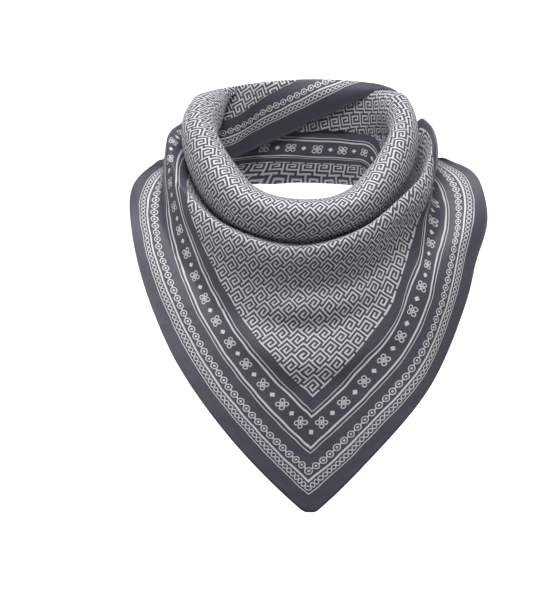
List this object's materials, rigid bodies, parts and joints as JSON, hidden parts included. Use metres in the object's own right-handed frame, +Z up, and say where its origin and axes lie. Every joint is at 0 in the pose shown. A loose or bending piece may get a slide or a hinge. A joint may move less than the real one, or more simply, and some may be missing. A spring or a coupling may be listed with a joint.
{
  "type": "printed silk neck scarf, worn",
  "caption": "Small printed silk square folded corner to corner and wrapped round the neck, a soft roll at the collar and the point hanging in front.",
  "frame": {"origin": "centre of the neck opening, 9 mm above the top of the roll in front, where the neck goes through", "axes": "+Z up along the neck, the point hangs in front on the -Y side, +X to the right of the front view"},
  "size_m": [0.2928, 0.259, 0.3105],
  "materials": {
    "cloth": "slate grey silk twill with an off-white print, soft sheen"
  },
  "bodies": {
    "root": {"scarf_cloth": "cloth"}
  },
  "joints": []
}
